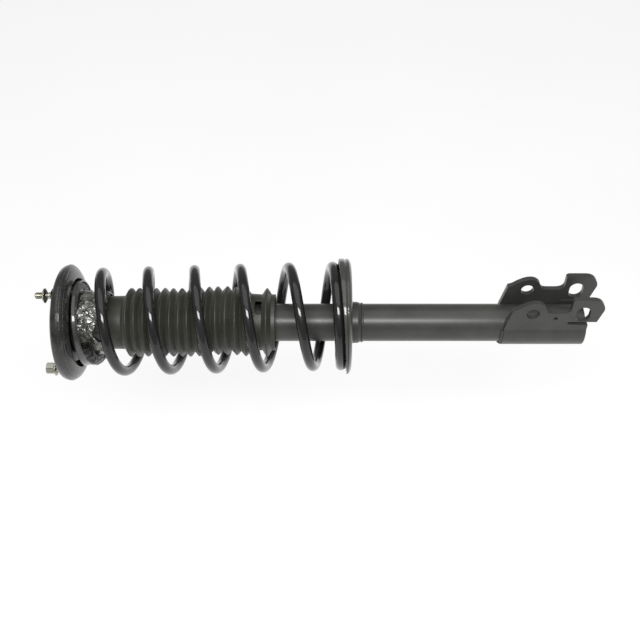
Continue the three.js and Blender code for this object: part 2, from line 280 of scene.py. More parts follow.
# %% Powder coat on the spring
def make_powder_coat():
    material, tree, shader, place = new_finish("gloss black powder coat", Coat_Weight=0.8,
                                               Coat_Roughness=0.05, Specular_IOR_Level=0.15)
    tint(tree, shader, mottle(tree, place, 22, 0.3, 0.75), "#151515", "#202020")
    roughen(tree, shader, mottle(tree, place, 3, 0.45, 0.8), 0.26, 0.4)
    grain(tree, shader, place, 2.2, 2.0, 0.06, 0.5)
    return material


POWDER_COAT = make_powder_coat()

# %% [markdown]
# ### Black dip over rubber and steel
# The top mount is a pressed steel shell with rubber moulded over it and a black dip coat on the whole. It
# looks nearly black with a low, lumpy sheen, scuffed to grey in small specks.

# %% Dip coat on the mount
def make_dip_coat():
    material, tree, shader, place = new_finish("black dip coat over moulded rubber", Coat_Weight=0.7,
                                               Coat_Roughness=0.13, Specular_IOR_Level=0.2)
    cloud = mottle(tree, place, 14, 0.35, 0.72)
    scuffs = mottle(tree, place, 3, 0.64, 0.7)
    worn = add(tree, "ShaderNodeMath", operation="MAXIMUM",
               links={0: between(tree, cloud, 0.0, 0.15), 1: scuffs})
    tint(tree, shader, worn.outputs["Value"], "#1c1c1b", "#6a6a66")
    roughen(tree, shader, mottle(tree, place, 4, 0.3, 0.75), 0.34, 0.5)
    grain(tree, shader, place, 6, 6.0, 0.6, 0.7, roughness=0.65)
    return material


DIP_COAT = make_dip_coat()

# %% [markdown]
# ### Gloss paint on the upper seat
# The upper spring seat is a dark grey pressing, smooth enough to mirror the room above and below and to
# show one hard glint where its flange faces the light.

# %% Paint on the upper seat
def make_seat_paint():
    material, tree, shader, place = new_finish("gloss dark grey paint", Coat_Weight=1.0, Coat_Roughness=0.07,
                                               Specular_IOR_Level=0.3)
    tint(tree, shader, mottle(tree, place, 18, 0.35, 0.7), "#2b2b2a", "#3c3c3b")
    roughen(tree, shader, mottle(tree, place, 5, 0.3, 0.7), 0.3, 0.42)
    return material


SEAT_PAINT = make_seat_paint()

# %% [markdown]
# ### Blow-moulded rubber
# The dust boot is a soft black elastomer with a grey-olive bloom that varies at random. It is matt, with
# fine lines from the mould.

# %% Elastomer on the boot
def make_elastomer():
    material, tree, shader, place = new_finish("blow-moulded black elastomer", Sheen_Weight=0.12,
                                               Sheen_Roughness=0.4)
    tint(tree, shader, mottle(tree, place, 24, 0.3, 0.75), "#26261f", "#34342d")
    roughen(tree, shader, mottle(tree, place, 5, 0.3, 0.7), 0.4, 0.55)
    grain(tree, shader, place, 1.2, 3.0, 0.06, 0.6)
    return material


ELASTOMER = make_elastomer()

# %% [markdown]
# ### Bright metals and foam
# Nuts, studs and washers are plated with bright zinc: a pale, slightly yellow metal with a cloudy sheen.
# The races and guides are plain machined steel, greyer and rougher. The rod is hard chrome, which mirrors
# almost sharply. The bump stop is urethane foam: straw yellow and quite matt, with small open cells.

# %% Zinc, machined steel, chrome and foam
def make_metal(name, dark, light, rough_low, rough_high, cloud_mm):
    material, tree, shader, place = new_finish(name, Metallic=1.0)
    cloud = mottle(tree, place, cloud_mm, 0.3, 0.72)
    tint(tree, shader, cloud, dark, light)
    roughen(tree, shader, cloud, rough_low, rough_high)
    grain(tree, shader, place, 0.9, 3.0, 0.02, 0.5)
    return material


ZINC = make_metal("bright zinc plate", "#a3a294", "#c9c8bd", 0.2, 0.36, 3)
STEEL = make_metal("machined steel", "#77797b", "#96989a", 0.3, 0.42, 8)
CHROME = make_metal("hard chrome", "#c4c7ca", "#d2d4d6", 0.08, 0.14, 20)


def make_foam():
    material, tree, shader, place = new_finish("closed-cell urethane foam")
    tint(tree, shader, mottle(tree, place, 12, 0.3, 0.7), "#a38a4c", "#b79d5e")
    roughen(tree, shader, mottle(tree, place, 3, 0.3, 0.7), 0.7, 0.88)
    cells = add(tree, "ShaderNodeTexVoronoi", {"Scale": per_mm(1.5)}, {"Vector": place})
    bumps(tree, shader, cells.outputs["Distance"], 0.2, 0.7)
    return material


FOAM = make_foam()

# %% [markdown]
# ### Crumpled plastic film
# A thin clear film is still wrapped round the spring's upper sleeve. Its creases throw dozens of small
# white glints over a smoky grey, so the material is smooth and glossy and the creases themselves are real
# geometry.

# %% Film round the sleeve
def make_film(name, dark, light, metallic, gloss):
    material, tree, shader, place = new_finish(name, Metallic=metallic, Coat_Weight=gloss,
                                               Coat_Roughness=0.06, Specular_IOR_Level=0.5 * gloss)
    tint(tree, shader, mottle(tree, place, 6, 0.38, 0.66, 5.0), dark, light)
    roughen(tree, shader, mottle(tree, place, 2, 0.3, 0.7), 0.14, 0.3)
    fold = add(tree, "ShaderNodeTexVoronoi", {"Scale": per_mm(2.6)}, {"Vector": place},
               feature="DISTANCE_TO_EDGE")
    bumps(tree, shader, fold.outputs["Distance"], 0.4, 0.6)
    return material


FILM = make_film("crumpled plastic film", "#333331", "#85857f", 0.55, 1.0)
DARK_FILM = make_film("crumpled plastic film over black wire", "#0c0c0c", "#1e1e1d", 0.0, 0.25)

# %% [markdown]
# ## Camera, light and floor
# The camera looks at the middle of the strut from 45 degrees above, square to the strut axis, from a little
# over a metre. The floor is a pale backlit sheet well below the strut, so that next to no shadow shows on
# it. A broad light overhead lights the tops, and a long soft box near the camera draws the streak along the
# tube and the small hard glints on the spring.

# %% Camera, lights and floor
def at(azimuth, elevation, distance, target):
    a, e = math.radians(azimuth), math.radians(elevation)
    back = Vector((math.sin(a) * math.cos(e), -math.cos(a) * math.cos(e), math.sin(e)))
    return target + back * distance, back


def aim(thing, back):
    thing.rotation_mode = "QUATERNION"
    thing.rotation_quaternion = (-back).to_track_quat("-Z", "Y")


LENS_MM = 50.0
CAMERA_ELEVATION = 45.0
CAMERA_DISTANCE = 1.067
VIEW_CENTRE = Vector((0.3072, 0.002, 0.002))
FLOOR_Z = -0.4


def make_camera():
    camera = bpy.data.objects.new("camera", bpy.data.cameras.new("camera"))
    camera.data.lens = LENS_MM
    camera.location, back = at(0, CAMERA_ELEVATION, CAMERA_DISTANCE, VIEW_CENTRE)
    aim(camera, back)
    bpy.context.scene.collection.objects.link(camera)
    bpy.context.scene.camera = camera


def make_light(name, azimuth, elevation, distance, size, power):
    light = bpy.data.lights.new(name, "AREA")
    light.shape = "RECTANGLE"
    light.size, light.size_y = size
    light.energy = power
    lamp = bpy.data.objects.new(name, light)
    lamp.location, back = at(azimuth, elevation, distance, VIEW_CENTRE)
    aim(lamp, back)
    bpy.context.scene.collection.objects.link(lamp)


def make_floor():
    material, tree, shader, place = new_finish("backlit white acrylic", Roughness=0.9,
                                               Specular_IOR_Level=0.1, Emission_Strength=0.8,
                                               Emission_Color=(1.0, 1.0, 1.0, 1.0))
    tint(tree, shader, mottle(tree, place, 400, 0.3, 0.7), "#858585", "#8a8a8a")
    mesh = bmesh.new()
    bmesh.ops.create_grid(mesh, x_segments=1, y_segments=1, size=6)
    bmesh.ops.translate(mesh, verts=mesh.verts, vec=(VIEW_CENTRE.x, 0, FLOOR_Z))
    finish_mesh("floor", mesh, material)


def make_world():
    world = bpy.data.worlds.new("white room")
    world.use_nodes = True
    background = world.node_tree.nodes["Background"]
    background.inputs["Color"].default_value = (1, 1, 1, 1)
    background.inputs["Strength"].default_value = 0.25
    bpy.context.scene.world = world


make_camera()
make_floor()
make_world()
make_light("overhead sky", 0, 95, 1.8, (3.0, 1.6), 16)
make_light("camera soft box", 0, 55, 1.5, (1.0, 0.36), 22)
bpy.context.scene.view_settings.view_transform = "Standard"

# %% [markdown]
# ## Top mount
# The shell is pressed in steel and moulded over with rubber: a flat face towards the body, a fat rounded
# rim, and shallow rings on its flank. Its underside leans with the spring seat, so the points past the face
# are sheared.

# %% Mount shell
def lean_shear(points):
    share = np.clip((points[..., 0] - 6.0) / 14.0, 0, 1)
    share = share * share * (3 - 2 * share)
    points[..., 0] -= SHELL_LEAN * (points @ LEAN_SIDE) * share
    return points


def make_mount_shell():
    start, end, reach = span("mount_shell")
    depth = 20.5
    rings = rounded([
        (0, 24, 1.2), (0, 33, 0.8), (1.6, 34, 0.8), (1.6, 43, 0.8), (0, 44.2, 0.8), (0, 60, 4.5),
        (3.2, 67.2, 2.2), (8.6, reach, 2), (11.4, reach, 0.6), (12.2, reach - 1.3, 0.5),
        (13.2, reach - 1.2, 0.5), (15.4, 66.4, 0.8), (16.1, 64.6, 0.4), (16.9, 64.3, 0.4), (18.9, 60.4, 1),
        (depth - 0.4, 56.4, 0.8), (depth, RECESS_R + 0.9, 0.6), (depth - 0.8, RECESS_R, 0.5),
        (5.5, RECESS_R, 1), (5.5, 24, 1.2),
    ])
    return turned_piece("top_mount_shell", rings, DIP_COAT, "top_mount", "black_coated", ["mount_shell"],
                        segments=224, reshape=lean_shear)


make_mount_shell()

# %% [markdown]
# ### Stud bosses
# Each stud stands in a low tapered boss. The three are one shape repeated round the stud circle, which is a
# job for Geometry Nodes: a circle of points, one copy on each, and the copies made real.

# %% A Geometry Nodes tree that repeats a shape round the strut axis
def circle_tree():
    tree = bpy.data.node_groups.new("copies round the strut axis", "GeometryNodeTree")
    for label, kind in (("Geometry", "Geometry"), ("Count", "Int"), ("Radius", "Float"),
                        ("First angle", "Float"), ("Own turn", "Float"), ("Skip first", "Bool"),
                        ("Material", "Material")):
        tree.interface.new_socket(label, in_out="INPUT", socket_type="NodeSocket" + kind)
    tree.interface.new_socket("Geometry", in_out="OUTPUT", socket_type="NodeSocketGeometry")
    source = add(tree, "NodeGroupInput").outputs
    circle = add(tree, "GeometryNodeMeshCircle", links={"Vertices": source["Count"],
                                                        "Radius": source["Radius"]})
    # The circle lies in XY. It is stood up in YZ, then turned about X to the first copy's angle.
    stand = add(tree, "GeometryNodeTransform", {"Rotation": (0.0, math.radians(-90), 0.0)},
                {"Geometry": circle.outputs["Mesh"]})
    spin = add(tree, "ShaderNodeCombineXYZ", links={"X": source["First angle"]})
    turned = add(tree, "GeometryNodeTransform", links={"Geometry": stand.outputs["Geometry"],
                                                       "Rotation": spin.outputs["Vector"]})
    own = add(tree, "FunctionNodeRandomValue", {"Seed": 4}, data_type="FLOAT")
    tree.links.new(source["Own turn"], own.inputs[3])
    own_turn = add(tree, "ShaderNodeCombineXYZ", links={"X": own.outputs[1]})
    number = add(tree, "GeometryNodeInputIndex")
    is_first = add(tree, "FunctionNodeCompare", links={2: number.outputs["Index"]}, data_type="INT",
                   operation="EQUAL")
    skipped = add(tree, "FunctionNodeBooleanMath", operation="AND",
                  links={0: is_first.outputs["Result"], 1: source["Skip first"]})
    left = add(tree, "GeometryNodeDeleteGeometry", links={"Geometry": turned.outputs["Geometry"],
                                                          "Selection": skipped.outputs["Boolean"]})
    copies = add(tree, "GeometryNodeInstanceOnPoints", links={
        "Points": left.outputs["Geometry"], "Instance": source["Geometry"],
        "Rotation": own_turn.outputs["Vector"]})
    real = add(tree, "GeometryNodeRealizeInstances", links={"Geometry": copies.outputs["Instances"]})
    painted = add(tree, "GeometryNodeSetMaterial", links={"Geometry": real.outputs["Geometry"],
                                                          "Material": source["Material"]})
    add(tree, "NodeGroupOutput", links={"Geometry": painted.outputs["Geometry"]})
    return tree


def baked(piece, tree, inputs):
    """The piece with one Geometry Nodes tree run on it and turned into plain mesh."""
    modifier = piece.modifiers.new(tree.name, "NODES")
    modifier.node_group = tree
    for item in tree.interface.items_tree:
        if item.in_out == "INPUT" and item.name in inputs:
            modifier[item.identifier] = inputs[item.name]
    graph = bpy.context.evaluated_depsgraph_get()
    mesh = bpy.data.meshes.new_from_object(piece.evaluated_get(graph), preserve_all_data_layers=True,
                                           depsgraph=graph)
    mesh.name = piece.name
    if piece.type == "MESH":
        piece.modifiers.remove(modifier)
        piece.data = mesh
        return piece
    made = bpy.data.objects.new(piece.name, mesh)
    bpy.context.scene.collection.objects.link(made)
    bpy.data.objects.remove(piece)
    return made


ROUND_THE_AXIS = circle_tree()


def round_the_studs(piece, material, own_turn=0.0, skip_first=False):
    return baked(piece, ROUND_THE_AXIS, {
        "Count": len(STUD_ANGLES), "Radius": STUD_CIRCLE_R * MM, "First angle": math.radians(-STUD_ANGLES[0]),
        "Own turn": own_turn, "Skip first": skip_first, "Material": material})


# %% [markdown]
# ### Studs and nuts
# A thread is a groove that climbs as it goes round, so a ring of the stud's section takes a radius that
# follows a saw of the turn. A hexagon is a ring whose radius follows the cosine of the angle from the
# nearest flat. The nuts stop at different turns, as hand-fitted ones do, and the first stud carries a thin
# cone-shaped nut.

# %% Bosses, threaded studs and flange nuts
def make_bosses():
    rings = rounded([(0.6, 0, 0), (0.6, 8.5, 0), (-0.9, 6.6, 0.8), (-0.9, 0, 0)])
    boss = finish_mesh("stud_bosses", surface(turn(rings, 48), closed=False), DIP_COAT)
    return settle(round_the_studs(boss, DIP_COAT), "top_mount", "black_coated")


def thread_rings(start, end, r, pitch, depth, segments):
    """Rings of an outside thread: the radius follows a saw of the turn, and fades out at both ends."""
    angles = angles_of(segments)
    rings = []
    for x in np.arange(start, end + 1e-6, pitch / 8):
        phase = np.mod(x / pitch - angles / (2 * math.pi), 1.0)
        tooth = 1 - np.abs(2 * phase - 1)
        fade = min(1.0, (x - start) / pitch, (end - x) / pitch)
        rings.append((x, r - depth * fade * (1 - tooth) - depth * (1 - fade)))
    return rings


def make_studs():
    start, end, r = span("mount_stud_1")
    rings = [(start, 0), (start, 2.6), (start + 0.5, 2.9)]
    rings += thread_rings(start + 0.6, -4.2, r, 1.25, 0.72, 40)
    rings += [(-4.1, r), (end, r), (end, 0)]
    stud = finish_mesh("mount_studs", surface(turn(rings, 40), closed=False), ZINC, angle=50)
    return settle(round_the_studs(stud, ZINC), "top_mount", "zinc", "mount_stud_1", "mount_stud_2",
                  "mount_stud_3")


def hexagon(across_flats, segments):
    """The radius of a hexagon with slightly rounded corners, at each angle."""
    sixth = math.pi / 3
    off_flat = np.mod(angles_of(segments) + sixth / 2, sixth) - sixth / 2
    return np.minimum(across_flats / 2 / np.cos(off_flat), across_flats / 2 * 1.135)


def nut_rings(outer, inner, across_flats, bore, segments):
    """A chamfered hexagon between two places along X, with its bore: outer is the free end."""
    hex_r = hexagon(across_flats, segments)
    face_r = across_flats / 2 * 0.95
    cone = (hex_r - face_r) * 0.55
    toward = 1 if inner > outer else -1
    return [(inner, bore), (outer + toward, bore), (outer, bore + 0.9), (outer, face_r),
            (outer + toward * cone, hex_r), (inner, hex_r)]


def make_cone_nut():
    start, end, reach = span("flange_nut_1")
    angle = math.radians(STUD_ANGLES[0])
    centre = (STUD_CIRCLE_R * math.sin(angle), STUD_CIRCLE_R * math.cos(angle))
    rings = rounded([(start, 4.3, 0.3), (start, 5.2, 0.4), (start + 2, reach - 0.6, 0.5),
                     (start + 2.9, reach, 0.4), (start + 3.4, reach - 0.3, 0.3), (end, 5.2, 0.5),
                     (end, 4.3, 0.3)])
    turned_piece("low_cone_nut", rings, ZINC, "top_mount", "zinc", ["flange_nut_1"], 64, centre=centre)


def make_flange_nuts():
    start, end, reach = span("flange_nut_2")
    segments = 96
    bore = 4.25
    rings = nut_rings(start, end - 2.2, 13, bore, segments)[:-1]
    rings += [(end - 2.7, hexagon(13, segments)), (end - 2.2, hexagon(13, segments) + 0.35),
              (end - 1.5, reach - 0.5), (end - 1.1, reach), (end - 0.3, reach), (end, reach - 0.4),
              (end, bore + 0.6), (end - 0.6, bore)]
    nut = finish_mesh("flange_nuts", surface(turn(rings, segments)), ZINC, angle=28)
    copies = round_the_studs(nut, ZINC, own_turn=1.0, skip_first=True)
    return settle(copies, "top_mount", "zinc", "flange_nut_2", "flange_nut_3")


make_bosses()
make_studs()
make_cone_nut()
make_flange_nuts()

# %% [markdown]
# ### Bush, washer and rod nut
# The rod's top passes through a sleeve in a rubber bush and is held by a washer and a hexagon nut.

# %% Centre of the mount
def make_mount_centre():
    start, end, reach = span("mount_bushing")
    rings = rounded([(start, 10.9, 0.6), (start + 1.4, 14, 0.8), (start, 17, 0.8), (start, reach, 1.2),
                     (7, reach, 0.8), (end, 19, 1), (end, 10.9, 0.6)])
    turned_piece("rubber_bush", rings, ELASTOMER, "top_mount", "rubber", ["mount_bushing"], 128)
    start, end, reach = span("top_washer")
    rings = rounded([(start, 6.4, 0.3), (start, reach - 2, 1.4), (end - 0.8, reach, 0.5), (end, reach, 0.5),
                     (end, 6.4, 0.3)])
    turned_piece("rod_washer", rings, ZINC, "top_mount", "zinc", ["top_washer"], 96)
    start, end, reach = span("rod_nut")
    turned_piece("rod_hexagon_nut", nut_rings(start, end, 19, 6.3, 96), ZINC, "top_mount", "zinc",
                 ["rod_nut"], 96)


def make_rod():
    start, end, reach = span("piston_rod")
    rings = [(start, 0), (start, 4.6), (start + 0.9, 5.2)]
    rings += thread_rings(start + 1, 9.6, 6, 1.25, 0.7, 48)
    rings += [(9.7, 6), (12, 6)]
    rings += rounded([(12, reach, 0.8), (258, reach, 0.8)])
    rings += [(258, 6), (end - 0.8, 6), (end, 5.2), (end, 0)]
    turned_piece("chromed_rod", rings, CHROME, "top_mount", "chrome", ["piston_rod"], 48, closed=False)


make_mount_centre()
make_rod()

# %% [markdown]
# ## Spring perch
# Under the mount the bearing carries the upper seat, its rubber and the sleeve that holds the boot. These
# lean four degrees, because the spring pushes a little off the strut axis. The seat is turned like the
# rest, then its flange is drawn out round the wire's end, where a real seat has a pocket for it.

# %% Upper seat and sleeve
SEAT_PLANE = 22.3
SEAT_FLANGE = 5.4
POCKET_HEIGHT = 5.4
POCKET_SWELL = 1.7


def leaned(points):
    turn_over = Matrix.Rotation(math.atan(LEAN), 3, Vector((0, -math.sqrt(0.5), math.sqrt(0.5))))
    moved = points @ np.array(turn_over).T
    moved[..., 0] += SEAT_PLANE
    return moved


def pocketed(points):
    """The flange stands taller and a little wider round the wire's end, on the side away from the lean."""
    radius = np.hypot(points[..., 1], points[..., 2])
    share = np.clip(-(points @ LEAN_SIDE) / radius, 0, 1) ** 2
    lip = np.clip((points[..., 0] - 2.5) / (SEAT_FLANGE - 2.5), 0, 1)
    points[..., 0] += POCKET_HEIGHT * share * lip
    outer = (radius > 46)[..., None]
    points[..., 1:] *= 1 + outer * (POCKET_SWELL * share / radius)[..., None]
    return leaned(points)


def make_upper_seat():
    reach = span("upper_spring_seat")[2]
    rings = rounded([(0, 38, 0.5), (0, reach + 0.2, 1.4), (SEAT_FLANGE - 1.0, reach - 0.5, 0.6),
                     (SEAT_FLANGE, reach + 0.2, 0.6), (SEAT_FLANGE, reach - 1.4, 0.5),
                     (2.2, reach - 2.2, 1), (2.2, 44, 0.6), (2.8, 42, 0.6), (2.8, 38, 0.3)])
    turned_piece("upper_seat_pressing", rings, SEAT_PAINT, "spring_perch", "grey_seat",
                 ["upper_spring_seat"], 192, reshape=pocketed)
    print("upper seat radius:", reach)
    rings = rounded([(2.7, 39.5, 0.4), (2.5, 47.4, 0.5), (4.4, 47.4, 0.8), (4.2, 39.5, 0.8)])
    turned_piece("seat_rubber", rings, ELASTOMER, "spring_perch", "rubber", ["spring_insulator"], 160,
                 reshape=leaned)
    start, end, reach = span("boot_sleeve")
    rings = rounded([(start, reach - 2, 0.5), (start, reach, 0.7), (end - 3, reach, 0.5),
                     (end, reach - 0.8, 0.6), (end, reach - 2, 0.5)])
    turned_piece("boot_retainer_sleeve", rings, DIP_COAT, "spring_perch", "black_coated", ["boot_sleeve"],
                 160)


make_upper_seat()

# %% [markdown]
# ### Crumpled film
# Crumpled film is a set of nearly flat facets between sharp creases. Adding the folded waves |sin| of many
# directions gives just that: each wave has a sharp crease where it meets zero. The seed is fixed.

# %% Film
def solid_copy(piece):
    """The piece with its modifiers applied."""
    graph = bpy.context.evaluated_depsgraph_get()
    mesh = bpy.data.meshes.new_from_object(piece.evaluated_get(graph), depsgraph=graph)
    mesh.name = piece.name
    piece.modifiers.clear()
    piece.data = mesh
    return piece


def creases(points, seed, spacing, count=14):
    """Height from 0 to 1 at each point in mm: folded waves in random directions, about spacing apart."""
    draw = np.random.default_rng(seed)
    total = np.zeros(points.shape[:-1])
    for _ in range(count):
        direction = unit(draw.normal(size=3))
        length = spacing * draw.uniform(0.8, 3.2)
        total += length * np.abs(np.sin(math.pi * (points @ direction) / length + draw.uniform(0, math.pi)))
    low, high = np.percentile(total, (1, 99))
    return np.clip((total - low) / (high - low), 0, 1)


TEAR_DEPTH = 16.0
TEAR_ANGLE = math.radians(300)
TEAR_HALF_ANGLE = math.radians(24)


def make_film_wrap():
    start, end, reach = span("film_wrap")
    rows, columns = 110, 760
    along = np.linspace(0, 1, rows)[:, None]
    angles = angles_of(columns)[None, :]
    right_edge = end + 1.0 + 4.0 * np.cos(angles + 0.6)
    right_edge += 1.2 * np.sin(5 * angles) + 0.7 * np.sin(13 * angles + 1)
    # The film is torn back on the low side, where the sleeve shows as a dark patch.
    right_edge -= TEAR_DEPTH * np.exp(-((angles - TEAR_ANGLE) / TEAR_HALF_ANGLE) ** 4)
    left_edge = start + 0.8 * np.sin(7 * angles + 2)
    x = left_edge + (right_edge - left_edge) * along
    round_sleeve = [np.broadcast_to(reach * side, x.shape) for side in (np.sin(angles), np.cos(angles))]
    height = creases(np.stack([x, *round_sleeve], axis=-1), 11, 4.2)
    r = reach - 0.7 + 2.6 * height
    points = np.stack([x + 0.9 * np.sin(height * 7), r * np.sin(angles), r * np.cos(angles)], axis=-1)
    film = finish_mesh("crumpled_film", surface(points, closed=False), FILM, angle=180)
    thickness = film.modifiers.new("film thickness", "SOLIDIFY")
    thickness.thickness = 0.12 * MM
    thickness.offset = 1
    return settle(solid_copy(film), "spring_perch", "film", "film_wrap")


make_film_wrap()

# %% [markdown]
# ## Coil spring
# The spring is one wire along a rule: its place along the strut and its radius follow a few listed rows, and
# Geometry Nodes sweeps the wire's circle along that line. Each point of the line keeps its own place along
# the strut as an attribute.

# %% Spring centre line
def row_value(turns, column):
    """A smooth value between the rows, with no overshoot (a monotone cubic)."""
    t, v = COIL_ROWS[:, 0], COIL_ROWS[:, column]
    chord = np.diff(v) / np.diff(t)
    slope = np.empty(len(t))
    slope[0], slope[-1] = chord[0], chord[-1]
    product = chord[:-1] * chord[1:]
    total = np.where(np.abs(chord[:-1] + chord[1:]) < 1e-12, 1, chord[:-1] + chord[1:])
    slope[1:-1] = np.where(product <= 0, 0, 2 * product / total)
    i = np.clip(np.searchsorted(t, turns, side="right") - 1, 0, len(t) - 2)
    gap = t[i + 1] - t[i]
    s = (turns - t[i]) / gap
    m0, m1 = slope[i] * gap, slope[i + 1] * gap
    return ((2 * s**3 - 3 * s**2 + 1) * v[i] + (s**3 - 2 * s**2 + s) * m0
            + (3 * s**2 - 2 * s**3) * v[i + 1] + (s**3 - s**2) * m1)


def coil_line(steps_per_turn=72):
    return coil_line_at(np.linspace(COIL_ROWS[0, 0], COIL_ROWS[-1, 0],
                                    int(np.ptp(COIL_ROWS[:, 0]) * steps_per_turn)))


def coil_line_at(turns):
    x, radius = row_value(turns, 1), row_value(turns, 2)
    angle = math.pi / 4 - turns * 2 * math.pi
    offset = COIL_LEAN * (x - COIL_LEAN_START)
    return np.stack([x, radius * np.sin(angle), radius * np.cos(angle) + offset], axis=-1)


# %% [markdown]
# ### Sweeping a round section
# Curve to Mesh runs a circle along a line. One tree serves the spring, the film over its end and the welds:
# the radius, the number of sides and the size of the ripples are its inputs.

# %% Sweeping a round section along a line
def sweep_tree():
    tree = bpy.data.node_groups.new("round section along a line", "GeometryNodeTree")
    for label, kind in (("Geometry", "Geometry"), ("Radius", "Float"), ("Sides", "Int"), ("Ripple", "Float"),
                        ("Ripples per metre", "Float"), ("Material", "Material")):
        tree.interface.new_socket(label, in_out="INPUT", socket_type="NodeSocket" + kind)
    tree.interface.new_socket("Geometry", in_out="OUTPUT", socket_type="NodeSocketGeometry")
    source = add(tree, "NodeGroupInput").outputs
    place = add(tree, "GeometryNodeInputPosition")
    along = add(tree, "ShaderNodeSeparateXYZ", links={"Vector": place.outputs["Position"]})
    marked = add(tree, "GeometryNodeStoreNamedAttribute", {"Name": "slice_x"},
                 {"Geometry": source["Geometry"], "Value": along.outputs["X"]}, data_type="FLOAT",
                 domain="POINT")
    # The distance along the line is kept too: each ripple of a weld bead swells and shrinks with it.
    length = add(tree, "GeometryNodeSplineParameter")
    measured = add(tree, "GeometryNodeStoreNamedAttribute", {"Name": "run"},
                   {"Geometry": marked.outputs["Geometry"], "Value": length.outputs["Length"]},
                   data_type="FLOAT", domain="POINT")
    circle = add(tree, "GeometryNodeCurvePrimitiveCircle", links={"Resolution": source["Sides"],
                                                                  "Radius": source["Radius"]})
    swept = add(tree, "GeometryNodeCurveToMesh", {"Fill Caps": True},
                {"Curve": measured.outputs["Geometry"], "Profile Curve": circle.outputs["Curve"]})
    run = add(tree, "GeometryNodeInputNamedAttribute", {"Name": "run"}, data_type="FLOAT")
    phase = add(tree, "ShaderNodeMath", links={0: run.outputs["Attribute"], 1: source["Ripples per metre"]},
                operation="MULTIPLY")
    wave = add(tree, "ShaderNodeMath", {1: 1.0}, {0: phase.outputs["Value"]}, operation="PINGPONG")
    swell = add(tree, "ShaderNodeMath", links={0: wave.outputs["Value"], 1: source["Ripple"]},
                operation="MULTIPLY")
    normal = add(tree, "GeometryNodeInputNormal")
    push = add(tree, "ShaderNodeVectorMath", operation="SCALE",
               links={0: normal.outputs["Normal"], "Scale": swell.outputs["Value"]})
    rippled = add(tree, "GeometryNodeSetPosition", links={"Geometry": swept.outputs["Mesh"],
                                                          "Offset": push.outputs["Vector"]})
    real = add(tree, "GeometryNodeRealizeInstances", links={"Geometry": rippled.outputs["Geometry"]})
    painted = add(tree, "GeometryNodeSetMaterial", links={"Geometry": real.outputs["Geometry"],
                                                          "Material": source["Material"]})
    add(tree, "NodeGroupOutput", links={"Geometry": painted.outputs["Geometry"]})
    return tree


SWEEP = sweep_tree()


def swept(name, line_mm, radius_mm, material, sides=24, ripple_mm=0.0, ripple_length_mm=1.0):
    """A plain mesh: a round section run along a line of points, smooth along its length."""
    curve = bpy.data.curves.new(name, "CURVE")
    curve.dimensions = "3D"
    curve.twist_mode = "MINIMUM"
    spline = curve.splines.new("POLY")
    spline.points.add(len(line_mm) - 1)
    spline.points.foreach_set("co", np.column_stack([line_mm * MM, np.ones(len(line_mm))]).ravel())
    path = bpy.data.objects.new(name, curve)
    bpy.context.scene.collection.objects.link(path)
    piece = baked(path, SWEEP, {
        "Radius": radius_mm * MM, "Sides": sides, "Ripple": ripple_mm * MM,
        "Ripples per metre": 2 * per_mm(ripple_length_mm), "Material": material})
    piece.data.polygons.foreach_set("use_smooth", [True] * len(piece.data.polygons))
    piece.data.set_sharp_from_angle(angle=math.radians(40))
    return piece


def make_spring():
    line = coil_line()
    spring = swept("wound_spring", line, WIRE_R, POWDER_COAT, sides=32)
    print("wire length in mm:", round(float(np.linalg.norm(np.diff(line, axis=0), axis=1).sum())))
    return spring, line * MM


SPRING, SPRING_LINE = make_spring()

# %% [markdown]
# ### Where each slice of the wire lies
# The place along the strut that each point of the wire was swept from is read back from its attribute, and
# the wire's transform is baked into its mesh.


def slice_places(piece):
    places = np.empty(len(piece.data.vertices), np.float32)
    piece.data.attributes["slice_x"].data.foreach_get("value", places)
    return places


PLACES = slice_places(SPRING)
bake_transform(SPRING)
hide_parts("coil_spring")

# %% [markdown]
# ### Film over the spring's end
# The same film is bunched over the wire's first quarter turn. It is the wire's own line swept a little
# fatter, then pushed in and out along its normals by the same creases.

# %% Film on the first quarter turn
def vertices_of(piece):
    flat = np.empty(len(piece.data.vertices) * 3, np.float32)
    piece.data.vertices.foreach_get("co", flat)
    return flat.reshape(-1, 3).astype(float)


def make_end_film():
    turns = np.linspace(COIL_ROWS[0, 0] - 0.004, -0.3, 150)
    line = coil_line_at(turns)
    film = swept("film_on_spring_end", line, WIRE_R + 0.2, DARK_FILM, sides=72)
    points = vertices_of(film) / MM
    normals = np.empty(len(points) * 3, np.float32)
    film.data.vertices.foreach_get("normal", normals)
    points += normals.reshape(-1, 3) * (1.1 * creases(points, 3, 3.0))[:, None]
    film.data.vertices.foreach_set("co", (points * MM).astype(np.float32).ravel())
    film.data.update()
    settle(film, "spring_perch", "film")


make_end_film()

# %% [markdown]
# ## Dust boot
# The boot is blow-moulded: a smooth neck, fourteen rounded folds whose pitch grows a little, a smooth
# stretch with a vent window, one last fold and a cuff. The folds are a rule, the window is left out of the
# skin, and the wall gets its thickness afterwards.

# %% Boot
FOLDS = 14
FIRST_FOLD = 81.6
FOLD_PITCH = 9.8
FOLD_PITCH_GROWTH = 0.127
LAST_FOLD = 244.0
NECK_R = 31.4
VALLEY_R = 34.9
CUFF_R = 33.7
CREST_ROUND = 0.2
BOW_MM = 2.3
VENT = {"x": 234.6, "half_length": 4.2, "angle": math.radians(45 - 58), "half_angle": math.radians(16)}


def fold_peak(k):
    return FIRST_FOLD + k * FOLD_PITCH + k * (k - 1) / 2 * FOLD_PITCH_GROWTH


